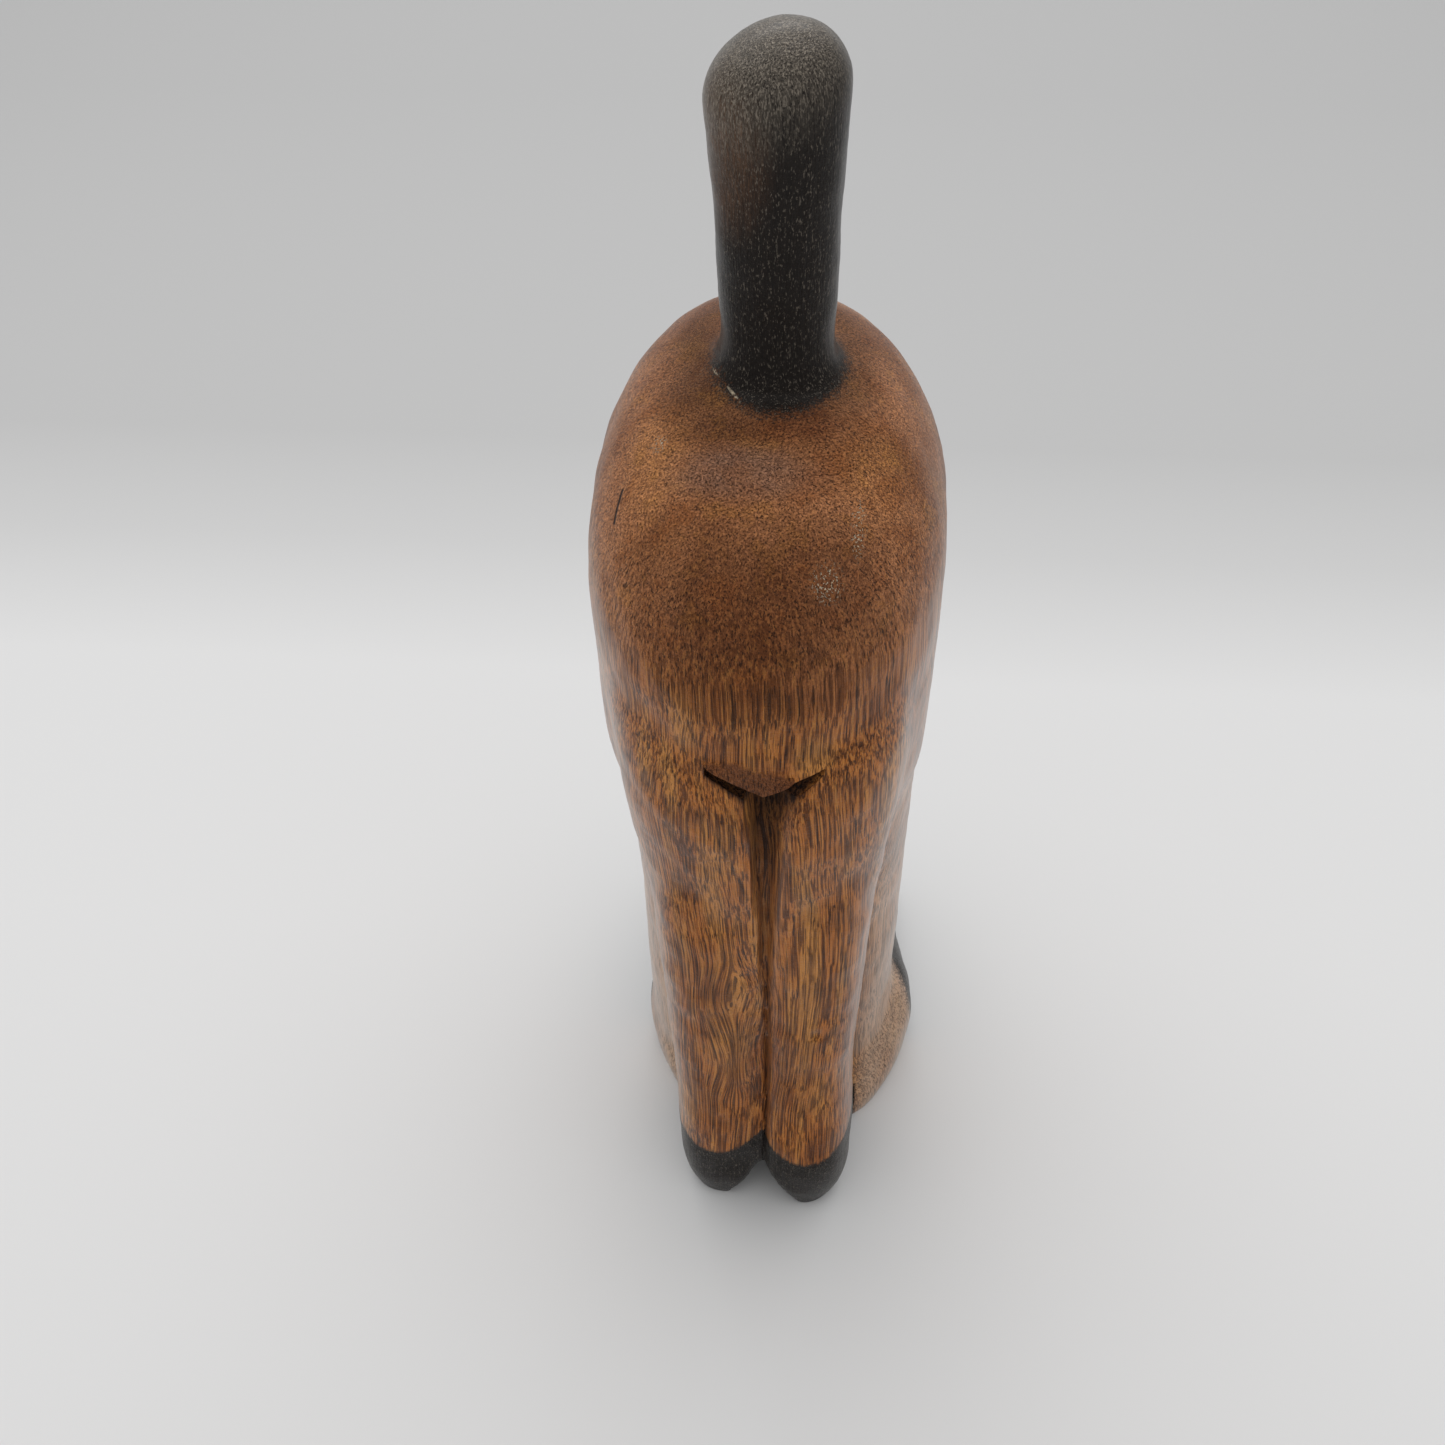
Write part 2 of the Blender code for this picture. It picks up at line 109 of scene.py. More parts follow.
def smoothThrough(stations, values, at):
    # a smooth curve through a few stations: cubic pieces whose slopes are the harmonic means of their
    # neighbours', and level where the values turn
    stations, values = np.asarray(stations, float), np.asarray(values, float)
    slope = np.diff(values) / np.diff(stations)
    tangent = np.zeros(len(values))
    tangent[0], tangent[-1] = slope[0], slope[-1]
    same = slope[1:] * slope[:-1] > 0
    tangent[1:-1] = np.where(same, 2 * slope[1:] * slope[:-1] / np.where(same, slope[1:] + slope[:-1], 1), 0)
    i = np.clip(np.searchsorted(stations, at) - 1, 0, len(slope) - 1)
    step = stations[i + 1] - stations[i]
    t = (at - stations[i]) / step
    start = (1 + 2 * t) * (1 - t) ** 2 * values[i] + t * (1 - t) ** 2 * step * tangent[i]
    return start + t**2 * (3 - 2 * t) * values[i + 1] + t**2 * (t - 1) * step * tangent[i + 1]


def oval(squareness):
    # unit superellipse: cosine and sine raised to 2 / squareness, with their signs kept
    angle = np.linspace(0, 2 * np.pi, carving["sides"], endpoint=False)
    c, s = np.cos(angle), np.sin(angle)
    return np.sign(c) * abs(c) ** (2 / squareness), np.sign(s) * abs(s) ** (2 / squareness)


def skin(grid):
    # a grid of rings (rings, sides, 3) closed into one skin: quads between rings, and a fan on each end
    rings, sides = grid.shape[:2]
    index = np.arange(rings * sides).reshape(rings, sides)
    lower, upper = index[:-1], index[1:]
    quads = np.stack([lower, np.roll(lower, -1, 1), np.roll(upper, -1, 1), upper], -1).reshape(-1, 4)
    ends = np.stack([grid[0].mean(0), grid[-1].mean(0)])
    first, last = rings * sides, rings * sides + 1
    bottom = np.stack([np.roll(index[0], -1), index[0], np.full(sides, first)], -1)
    top = np.stack([index[-1], np.roll(index[-1], -1), np.full(sides, last)], -1)
    return np.concatenate([grid.reshape(-1, 3), ends]), [quads, np.concatenate([bottom, top])]


def upright(heights, backs, fronts, middles, widths, squareness, slopes=0.0):
    # level slices stacked upward: x = middle + width / 2 * across, y from back to front along the oval,
    # and each slice drops sideways by its slope
    along, across = oval(squareness)
    x = middles[:, None] + widths[:, None] / 2 * across
    y = -((backs + fronts)[:, None] / 2 + (fronts - backs)[:, None] / 2 * along)
    z = heights[:, None] - np.broadcast_to(slopes, heights.shape)[:, None] * (x - middles[:, None])
    return skin(np.stack([x, y, z], -1))


def ball(centre, size):
    # ellipsoid in level slices
    turn = np.linspace(0.04, np.pi - 0.04, carving["steps"])
    share = np.sin(turn)
    half = size[1] / 2 * share
    flat = 0 * share
    return upright(centre[2] - size[2] / 2 * np.cos(turn), centre[1] - half, centre[1] + half,
                   centre[0] + flat, size[0] * share, 2.0)


def trunkSkin():
    # smooth slices up to the rump, and above it a crown whose slices shrink as a superellipse
    t = trunkSize
    stations = (-t["below"], t["flankHeight"], t["hollowHeight"], t["foldHeight"], t["rumpHeight"])
    heights = np.linspace(stations[0], stations[-1], carving["steps"])
    flank, rump, chest = t["flankWidth"], t["rumpWidth"], t["chestFront"]
    back = (t["flankBack"], t["flankBack"], t["hollowBack"], t["foldBack"], t["rumpBack"])
    backs = smoothThrough(stations, back, heights)
    fronts = smoothThrough(stations, (chest, chest, chest, t["rumpFront"], t["rumpFront"]), heights)
    widths = smoothThrough(stations, (flank, flank, flank, rump, rump), heights)
    rise = 1 - (1 - np.linspace(0, 1, carving["steps"])[1:-1]) ** 2
    share = (1 - rise ** t["crownRoundness"]) ** (1 / t["crownRoundness"])
    heights = np.append(heights, t["rumpHeight"] + rise * (t["rumpTop"] - t["rumpHeight"]))
    backs = np.append(backs, t["crownDepth"] + (t["rumpBack"] - t["crownDepth"]) * share)
    fronts = np.append(fronts, t["crownDepth"] + (t["rumpFront"] - t["crownDepth"]) * share)
    widths = np.append(widths, rump * share)
    middles = t["lean"] * np.clip(heights / t["rumpHeight"], 0, 1)
    return upright(heights, backs, fronts, middles, widths, t["squareness"])


def haunchSkin():
    # both thighs as one mass, smooth slices from inside the shins up into the rump
    g, t = hindLegSize, trunkSize
    stations = (g["shinHeight"], g["kneeHeight"], g["thighHeight"], t["rumpHeight"])
    heights = np.linspace(stations[0], stations[-1], carving["steps"])
    back = (g["shinBack"] + g["tuck"], g["kneeBack"], g["thighBack"], t["rumpBack"] + g["tuck"] / 2)
    width = (2 * (g["shinWidth"] - g["tuck"]), 2 * g["kneeWidth"], 2 * g["thighWidth"], 2 * g["thighWidth"])
    backs = smoothThrough(stations, back, heights)
    widths = smoothThrough(stations, width, heights)
    return upright(heights, backs, g["front"] + 0 * heights, t["lean"] * heights / t["rumpHeight"], widths,
                   t["squareness"])


def hindLegSkin(side):
    # one straight leg and its paw, smooth slices that touch the other leg along the middle
    g = hindLegSize
    stations = (-trunkSize["below"], 0.0, g["pawHeight"], g["shinHeight"], g["kneeHeight"], g["thighHeight"])
    heights = np.linspace(stations[0], stations[-1], carving["steps"])
    heel = g["pawBack"] + side * g["pawStagger"]
    back = (heel + g["pawRound"], heel + g["pawRound"] / 2, heel, g["shinBack"], g["kneeBack"],
            g["thighBack"] + g["tuck"])
    paw = g["pawWidth"] + (g["pawUneven"] if side < 0 else 0.0)
    width = (paw - 2 * g["pawRound"], paw - g["pawRound"], paw, g["shinWidth"], g["kneeWidth"],
             g["thighWidth"] - g["tuck"])
    backs = smoothThrough(stations, back, heights)
    widths = smoothThrough(stations, width, heights)
    return upright(heights, backs, g["front"] + 0 * heights, side * (widths / 2 - g["overlap"]),
                   widths + g["overlap"], g["squareness"])


def foreLegSkin(side):
    # upright ovals carried forward along the floor, rounded off at both ends
    g = foreLegSize
    first, last = g["depths"][0], g["depths"][-1]
    turn = np.linspace(0.05, np.pi - 0.05, carving["steps"])
    depths = first + (last - first) * (1 - np.cos(turn)) / 2
    outers = smoothThrough(g["depths"], g["spreads"], depths) / 2
    tops = smoothThrough(g["depths"], g["heights"], depths)
    nearest = np.minimum(depths - first, last - depths)
    close = np.sqrt(1 - (1 - np.clip(nearest / g["round"], 0.02, 1)) ** 2)
    across, upward = oval(g["squareness"])
    half, below = g["width"] / 2, trunkSize["below"]
    x = g["lean"] + side * (outers[:, None] - half) + half * close[:, None] * across
    z = (tops[:, None] - below) / 2 + (tops[:, None] + below) / 2 * close[:, None] * upward
    return skin(np.stack([x, np.broadcast_to(-depths[:, None], x.shape), z], -1))


def skirtSkin():
    # the foot of the trunk: level slices that sweep out toward the floor with the square of the height left
    g, t = foreLegSize, trunkSize
    heights = np.linspace(-t["below"], g["skirtHeight"], carving["steps"] // 2)
    sweep = (1 - np.clip(heights / g["skirtHeight"], 0, 1)) ** 2
    top, inner = t["flankWidth"] - g["skirtTuck"], t["flankBack"] + g["skirtTuck"]
    return upright(heights, inner + (g["skirtBack"] - inner) * sweep, t["chestFront"] + 0 * heights,
                   g["lean"] * sweep, top + (g["skirtWidth"] - top) * sweep, t["squareness"])


def earSkin(side):
    # level slices that shrink to a blunt tip: (1 - sharpness * rise to the curve) to the taper
    h = headSize
    rise = np.linspace(0, 1, carving["steps"] // 2)
    share = (1 - rise ** h["earCurve"] * h["earSharpness"]) ** h["earTaper"]
    base = h["skull"][0][2]
    thick = h["earThickness"] * share
    return upright(base + rise * (h["earTip"] - base), h["earDepth"] - thick / 2, h["earDepth"] + thick / 2,
                   side * (h["earSpread"] / 2 + h["earTurnOut"] * rise), h["earWidth"] * share, 2.0)


def tailSkin():
    # a flared root, a slight taper, and a superellipse tip whose slices slope and lean sideways
    g = tailSize
    stem = np.linspace(trunkSize["rumpTop"] - g["sink"], g["top"] - g["tip"], carving["steps"])
    fall = np.clip((g["root"] + g["flareHeight"] - stem) / g["flareHeight"], 0, g["flareReach"])
    grow = 2 * g["flare"] * fall ** g["flareCurve"]
    narrow = g["taper"] * (g["top"] - stem) / (g["top"] - g["root"])
    turn = np.linspace(0, np.pi / 2 - 0.09, carving["steps"] // 3)[1:]
    across, upward = np.cos(turn) ** (2 / g["tipRoundness"]), np.sin(turn) ** (2 / g["tipRoundness"])
    heights = np.append(stem, g["top"] - g["tip"] + g["tip"] * upward)
    widths = np.append(g["width"] - narrow + grow, g["width"] * across)
    thicks = np.append(g["thickness"] - narrow + grow, g["thickness"] * across)
    bend = np.clip((heights - g["root"]) / (g["top"] - g["root"]), 0, 1) ** 4
    return upright(heights, g["depth"] - thicks / 2, g["depth"] + thicks / 2, g["lean"] + g["tipLean"] * bend,
                   widths, g["squareness"], 2 * g["slant"] / g["width"] * bend)


def newMesh(name, points, faceGroups):
    # a mesh from whole arrays: points, and one array of faces for each number of corners
    mesh = bpy.data.meshes.new(name)
    loops = np.concatenate([faces.ravel() for faces in faceGroups])
    sizes = np.concatenate([np.full(len(faces), faces.shape[1]) for faces in faceGroups])
    mesh.vertices.add(len(points))
    mesh.vertices.foreach_set("co", points.astype(np.float32).ravel())
    mesh.loops.add(len(loops))
    mesh.loops.foreach_set("vertex_index", loops.astype(np.int32))
    mesh.polygons.add(len(sizes))
    mesh.polygons.foreach_set("loop_start", np.append(0, np.cumsum(sizes)[:-1]).astype(np.int32))
    mesh.update(calc_edges=True)
    mesh.validate()
    return mesh


def newPiece(name, mesh):
    piece = bpy.data.objects.new(name, mesh)
    bpy.context.scene.collection.objects.link(piece)
    return piece


def pointsOf(mesh):
    flat = np.empty(len(mesh.vertices) * 3, np.float32)
    mesh.vertices.foreach_get("co", flat)
    return flat.reshape(-1, 3).astype(float)


def normalsOf(mesh):
    flat = np.empty(len(mesh.vertices) * 3, np.float32)
    mesh.vertex_normals.foreach_get("vector", flat)
    return flat.reshape(-1, 3).astype(float)


def finished(piece):
    # the piece's mesh with its modifiers applied, put back on the piece
    graph = bpy.context.evaluated_depsgraph_get()
    graph.update()
    mesh = bpy.data.meshes.new_from_object(piece.evaluated_get(graph))
    piece.modifiers.clear()
    piece.data = mesh
    return mesh


def step(low, high, value):
    # smooth step from 0 at low to 1 at high
    t = np.clip((value - low) / (high - low), 0, 1)
    return t * t * (3 - 2 * t)


def ripple(points, size, seed, octaves=3):
    # soft noise from -1 to 1: sums of sine waves in random directions, each octave half as long and strong
    rng = np.random.default_rng(seed)
    total, weight = np.zeros(len(points)), 0.0
    for octave in range(octaves):
        waves = rng.normal(size=(7, 3))
        waves /= np.linalg.norm(waves, axis=1, keepdims=True)
        phase = rng.uniform(0, 2 * np.pi, 7)
        total += np.sin(points @ waves.T * (2 * np.pi * 2**octave / size) + phase).sum(1) / 7 * 0.5**octave
        weight += 0.5**octave
    return total / weight * 2.2


dents = [
    {"at": (0.0045, 0.0180, 0.2285), "size": (0.0110, 0.0050, 0.0080), "cut": 0.0013},
    {"at": (-0.0060, 0.0130, 0.2265), "size": (0.0090, 0.0060, 0.0080), "cut": 0.0010},
    {"at": (-0.0102, 0.0097, 0.2243), "size": (0.0014, 0.0014, 0.0014), "cut": 0.0005},
    {"at": (0.0010, 0.0010, 0.2195), "size": (0.0120, 0.0070, 0.0060), "cut": -0.0007},
    {"at": (-0.0131, -0.0003, 0.0780), "size": (0.0012, 0.0030, 0.0020), "cut": 0.0007},
]


def aboveLip(x, z):
    # height over the V of the notch's lip
    c = carving
    return z - c["notchHeight"] - c["notchRise"] / (c["notchWidth"] / 2) * abs(x - c["grooveSide"])


def grooveDepth(x, z):
    # how deep the groove between the hind legs is: steep on its left bank and easy on its right one, widest
    # and deepest under the notch, and a fine crease from the shins to the paws
    across = x - carving["grooveSide"]
    cut, left, right = (np.interp(z, *carving[name]) for name in ("grooveCut", "leftBank", "rightBank"))
    steep = 1 - step(left - 0.0012, left + 0.0003, across)
    easy = (1 - step(0, right, -across)) ** 1.6
    return cut * np.where(across > 0, steep, easy) * step(0.0008, 0.0030, -aboveLip(x, z))


def lipFacet(x, z):
    # a flat cut over the left arm of the lip that leaves its edge proud: 1 at the edge, falling evenly to 0
    t, across = aboveLip(x, z), x - carving["grooveSide"]
    rise = np.interp(across, *carving["facetRise"])
    inside = step(*carving["facetRight"], across) * (1 - step(*carving["facetLeft"], across))
    return np.clip(1 - t / rise, 0, 1) * step(-0.0016, -0.0008, t) * inside


def faceCut(x, z):
    # the plain face: two closed eyes, each the lower half of a flattened ring, and a nose with a mouth
    # line under it; 1 on a line and 0 a line's width away
    f = faceSize
    side = abs(x)
    sag = f["eyeDrop"] * (1 - np.clip((side - f["eyeSide"]) / f["eyeHalf"], -1, 1) ** 2)
    onEye = abs(z - f["eyeHeight"] + sag) + 2 * np.clip(abs(side - f["eyeSide"]) - f["eyeHalf"], 0, None)
    noseEdge = f["noseHeight"] - f["noseDrop"] * (1 - np.clip(side / f["noseHalf"], 0, 1))
    onNose = abs(z - noseEdge) + 2 * np.clip(side - f["noseHalf"], 0, None)
    lip = f["mouthHeight"] - f["mouthDrop"] * np.sin(np.clip(side / f["mouthHalf"], 0, 1) * np.pi)
    onMouth = abs(z - lip) + 2 * np.clip(side - f["mouthHalf"], 0, None)
    onSplit = side + 2 * np.clip(abs(z - (f["mouthHeight"] + f["noseHeight"] - f["noseDrop"]) / 2)
                                 - (f["noseHeight"] - f["noseDrop"] - f["mouthHeight"]) / 2, 0, None)
    nearest = np.minimum.reduce([onEye, onNose, onMouth, onSplit])
    return np.exp(-(nearest / f["line"]) ** 2)


def earHollow(x, z):
    # a shallow oval hollow on the front of each ear: a bell curve across and up, 1 in its middle
    h = headSize
    across, upward = (abs(x) - h["hollowSide"]) / h["hollowWidth"], (z - h["hollowHeight"]) / h["hollowLength"]
    return np.exp(-(across**2) - upward**2)


def handWork(points, normals):
    # what the carver's tools left, as an offset along the surface: broad flats and hollows, a few dents,
    # the facet over the notch, the face and the ears, and the groove cut straight forward
    figure = points * (1, -1, 1)
    x, depth, z = figure.T
    offset = sum(high * ripple(points, size, seed) for high, size, seed in carving["waves"])
    for spot in dents:
        away = (figure - spot["at"]) / spot["size"]
        offset -= spot["cut"] * np.exp(-(away**2).sum(1))
    backward = normals[:, 1]
    offset += carving["facetProud"] * lipFacet(x, z) * step(0.5, 0.8, backward)
    offset -= faceSize["cut"] * faceCut(x, z) * step(*faceSize["front"], depth) * step(0.1, 0.4, -backward)
    onEars = step(0.3, 0.7, -backward) * step(*headSize["hollowFront"], depth)
    offset -= headSize["hollowCut"] * earHollow(x, z) * onEars
    worked = points + normals * offset[:, None]
    worked[:, 1] -= step(0.15, 0.5, backward) * step(-0.030, -0.020, -depth) * grooveDepth(x, z)
    return worked


def hullBlock(name, points):
    # the convex block that wraps a few points, given as across, depth and height
    work = bmesh.new()
    for x, depth, z in points:
        work.verts.new((x, -depth, z))
    bmesh.ops.convex_hull(work, input=work.verts)
    bmesh.ops.recalc_face_normals(work, faces=work.faces)
    mesh = bpy.data.meshes.new(name)
    work.to_mesh(mesh)
    work.free()
    return newPiece(name, mesh)


def notchBlock(side, length, tipLength):
    # half of the chevron notch: a lip above, and a wall that runs out to the surface lower down
    c, out = carving, -0.04
    middle, tip = c["grooveSide"] - side * c["lap"], c["grooveSide"] + side * c["notchWidth"] / 2
    top, high = c["notchHeight"], c["notchHeight"] + c["notchRise"]
    points = []
    for x, z, surface, cut, drop in ((middle, top, c["notchBack"] - 0.0015, c["notchCut"] + 0.0015, length),
                                     (tip, high, c["notchBack"] + 0.0004, 0.0006, tipLength)):
        points += [(x, surface + cut, z), (x, out, z), (x, surface - 0.0005, z - drop), (x, out, z - drop)]
    return hullBlock("notchCut", points)


def pawGapBlock():
    # the upturned V between the hind paws
    c = carving
    half = c["pawGapWidth"] / 2
    outline = ((-half, -0.03), (half, -0.03), (half, 0.0), (-half, 0.0), (0.0, c["pawGapHeight"]))
    return hullBlock("pawGap", [(c["grooveSide"] + x, depth, z) for x, z in outline
                                for depth in (-0.03, c["pawGapDepth"])])


def floorBlock():
    # everything under the floor, which leaves the flat underside
    return hullBlock("floorBlock", [(x, y, z) for x in (-0.1, 0.1) for y in (-0.1, 0.2) for z in (-0.05, 0.0)])


def cutAway(piece, blocks):
    # exact cuts, one block at a time
    for block in blocks:
        cut = piece.modifiers.new(block.name, "BOOLEAN")
        cut.operation = "DIFFERENCE"
        cut.solver = "EXACT"
        cut.object = block
    mesh = finished(piece)
    for block in blocks:
        bpy.data.objects.remove(block)
    return mesh


def grown(piece, passes):
    # one even skin over everything, softened where forms meet
    grow = piece.modifiers.new("growTogether", "REMESH")
    grow.mode = "VOXEL"
    grow.voxel_size = carving["voxel"]
    soften = piece.modifiers.new("soften", "SMOOTH")
    soften.iterations = passes
    return finished(piece)


def carvedCat():
    # every form grown into one body, softened, worked over by hand, and cut
    parts = [trunkSkin(), haunchSkin(), tailSkin(), skirtSkin()]
    for side in (1, -1):
        parts += [hindLegSkin(side), foreLegSkin(side), earSkin(side)]
    parts += [ball(*headSize[name]) for name in ("skull", "neck", "muzzle")]
    points, quads, fans, base = [], [], [], 0
    for local, (fours, threes) in parts:
        points.append(local)
        quads.append(fours + base)
        fans.append(threes + base)
        base += len(local)
    mesh = newMesh("carvedCat", np.concatenate(points), [np.concatenate(quads), np.concatenate(fans)])
    piece = newPiece("carvedCat", mesh)
    grown(piece, carving["softening"])
    cutAway(piece, [pawGapBlock()])
    mesh = grown(piece, carving["rounding"])
    points = handWork(pointsOf(mesh), normalsOf(mesh))
    mesh.vertices.foreach_set("co", points.astype(np.float32).ravel())
    mesh = cutAway(piece, [notchBlock(*wing) for wing in carving["notchWings"]] + [floorBlock()])
    points = pointsOf(mesh)
    middle = (points.min(0) + points.max(0)) / 2
    place = np.array([(cadBox[0][0] + cadBox[1][0]) / 2, (cadBox[0][1] + cadBox[1][1]) / 2, 0.0])
    shift = place - np.array([middle[0], middle[1], points[:, 2].min()])
    mesh.vertices.foreach_set("co", (points + shift).astype(np.float32).ravel())
    mesh.update()
    mesh.shade_smooth()
    mesh.set_sharp_from_angle(angle=np.radians(42))
    return piece, shift


paintEdge = {
    "tailHeight": 0.2345, "tailSoft": 0.0020, "rootHeight": 0.222, "rootAt": (-0.0012, 0.0360),
    "rootHalf": (0.0120, 0.0140), "rootMean": 0.0125, "rootSoft": 0.0016,
    "pawLow": 0.0228, "pawRise": 0.0078, "pawCurve": 2.2, "pawMiddles": (0.0128, 0.0105), "pawHalf": 0.0120,
    "pawDepth": 0.0296, "pawSpare": 0.0006, "pawSoft": 0.0009, "pawSideSoft": 0.0004,
    "elbowDepth": 0.0620, "elbowSide": 0.0300, "elbowHeight": 0.046, "elbowSoft": 0.0034,
    "chestDepth": 0.0720, "chestHeight": 0.0360, "headDepth": 0.0892, "headHeight": 0.098, "farInside": 6,
}


def paintReach(figure):
    # how far each point lies inside the dark paint, in widths of the paint's edge: above the tail's root,
    # below a scalloped line on the hind paws, and over the head and the fronts of the forelegs
    x, depth, z = figure.T
    p, far = paintEdge, paintEdge["farInside"]
    ring = np.hypot((x - p["rootAt"][0]) / p["rootHalf"][0], (depth - p["rootAt"][1]) / p["rootHalf"][1])
    onRoot = np.where(z > p["rootHeight"], (1 - ring) * p["rootMean"] / p["rootSoft"], -far)
    onTail = (z - p["tailHeight"]) / p["tailSoft"]
    middle = x - carving["grooveSide"]
    leg = np.where(middle > 0, middle - p["pawMiddles"][0], -middle - p["pawMiddles"][1]) / p["pawHalf"]
    scallop = p["pawLow"] + p["pawRise"] * np.clip(abs(leg), 0, 1.2) ** p["pawCurve"]
    edge = hindLegSize["pawWidth"] + np.where(x > 0, 0, hindLegSize["pawUneven"]) + p["pawSpare"]
    onPaw = np.minimum.reduce([(scallop - z) / p["pawSoft"], (p["pawDepth"] - depth) / p["pawSoft"],
                               (edge - abs(x)) / p["pawSideSoft"]])
    beside = abs(x - foreLegSize["lean"]) - p["elbowSide"]
    slant = depth + 1.6 * beside - p["elbowDepth"] - 0.25 * np.clip(z - 0.028, 0, None)
    onElbow = np.minimum.reduce([slant / p["elbowSoft"], (p["elbowHeight"] - z) / 0.0040,
                                 (beside + 0.3 * (depth - 0.055)) / 0.0020])
    onChest = np.minimum((depth - p["chestDepth"]) / 0.0050, (p["chestHeight"] - z) / 0.0040)
    onHead = np.minimum((depth - p["headDepth"]) / 0.0012, (p["headHeight"] - z) / 0.0030)
    return np.clip(np.maximum.reduce([onRoot, onTail, onPaw, onElbow, onChest, onHead]), -far, far)


def stainShare(figure):
    # painted shade in the cuts: strongest under the lip, weaker down the groove, a trace at the tail's root
    x, depth, z = figure.T
    across, t = x - carving["grooveSide"], -aboveLip(x, z)
    share = np.clip(1 - abs(across) / (carving["notchWidth"] / 2), 0, 1)
    reach = np.where(across > 0, 0.0030 + 0.0034 * share, 0.0012 + 0.0230 * share**1.3)
    easy = np.where(across > 0, 0.75, 0.30)
    lip = step(-0.0001, 0.0002, t) * (1 - step(easy, 1.25, t / reach)) * (share > 0.005)
    cut = np.interp(z, *carving["grooveCut"])
    groove = step(0.20, 1.00, grooveDepth(x, z) / cut) * (0.52 + 0.42 * step(0.120, 0.167, z))
    root = np.exp(-((z - 0.2300) / 0.0030) ** 2) * (1 - step(0.020, 0.036, np.hypot(x - 0.001, depth - 0.034)))
    rear = depth < carving["rearDepth"]
    return np.clip(np.maximum(np.maximum(lip, groove) * rear, 0.55 * root), 0, 1)


def faceLine(figure):
    # where the paint is rubbed in the lines of the face
    x, depth, z = figure.T
    return faceCut(x, z) * step(*faceSize["front"], depth) * (z > 0.024)


def facetShare(figure):
    # the flat cut over the left arm of the notch, with a fringe as wide as a couple of fibres
    x, depth, z = figure.T
    return step(0.02, 0.12, lipFacet(x, z)) * (depth < carving["rearDepth"])


def grainBend(figure):
    # how far forward the back of the legs lies at each height, in millimetres: the grain follows it partly
    g, t, z = hindLegSize, trunkSize, figure[:, 2]
    stations = [0.0, *(g[name] for name in ("pawHeight", "shinHeight", "kneeHeight", "thighHeight"))]
    backs = [g[name] for name in ("pawBack", "pawBack", "shinBack", "kneeBack", "thighBack")]
    stations, backs = stations + [t["rumpHeight"], 0.30], backs + [t["rumpBack"]] * 2
    return smoothThrough(stations, backs, np.clip(z, 0.0, 0.299)) * 1000


def bloomShare(figure):
    # painted sheen: the low flanks and the tops of the elbows made pale, standing in for a grazing reflection
    x, depth, z = figure.T
    outer = abs(x - foreLegSize["lean"])
    flank = step(0.0180, 0.0262, outer) * step(0.0100, 0.0290, depth) * (1 - step(0.062, 0.106, depth))
    return flank * (1 - step(0.010, 0.160, z))


def setCorners(mesh, name, function, shift):
    # a value for each face corner, read a little inside its face so that sharp cuts keep sharp edges
    corners = np.empty(len(mesh.loops), np.int32)
    mesh.loops.foreach_get("vertex_index", corners)
    starts = np.empty(len(mesh.polygons), np.int32)
    mesh.polygons.foreach_get("loop_start", starts)
    points = pointsOf(mesh)[corners]
    counts = np.diff(np.append(starts, len(corners)))
    middles = np.add.reduceat(points, starts) / counts[:, None]
    inside = points + 0.2 * (np.repeat(middles, counts, 0) - points)
    layer = mesh.attributes.new(name, "FLOAT", "CORNER")
    layer.data.foreach_set("value", function((inside - shift) * (1, -1, 1)).astype(np.float32))


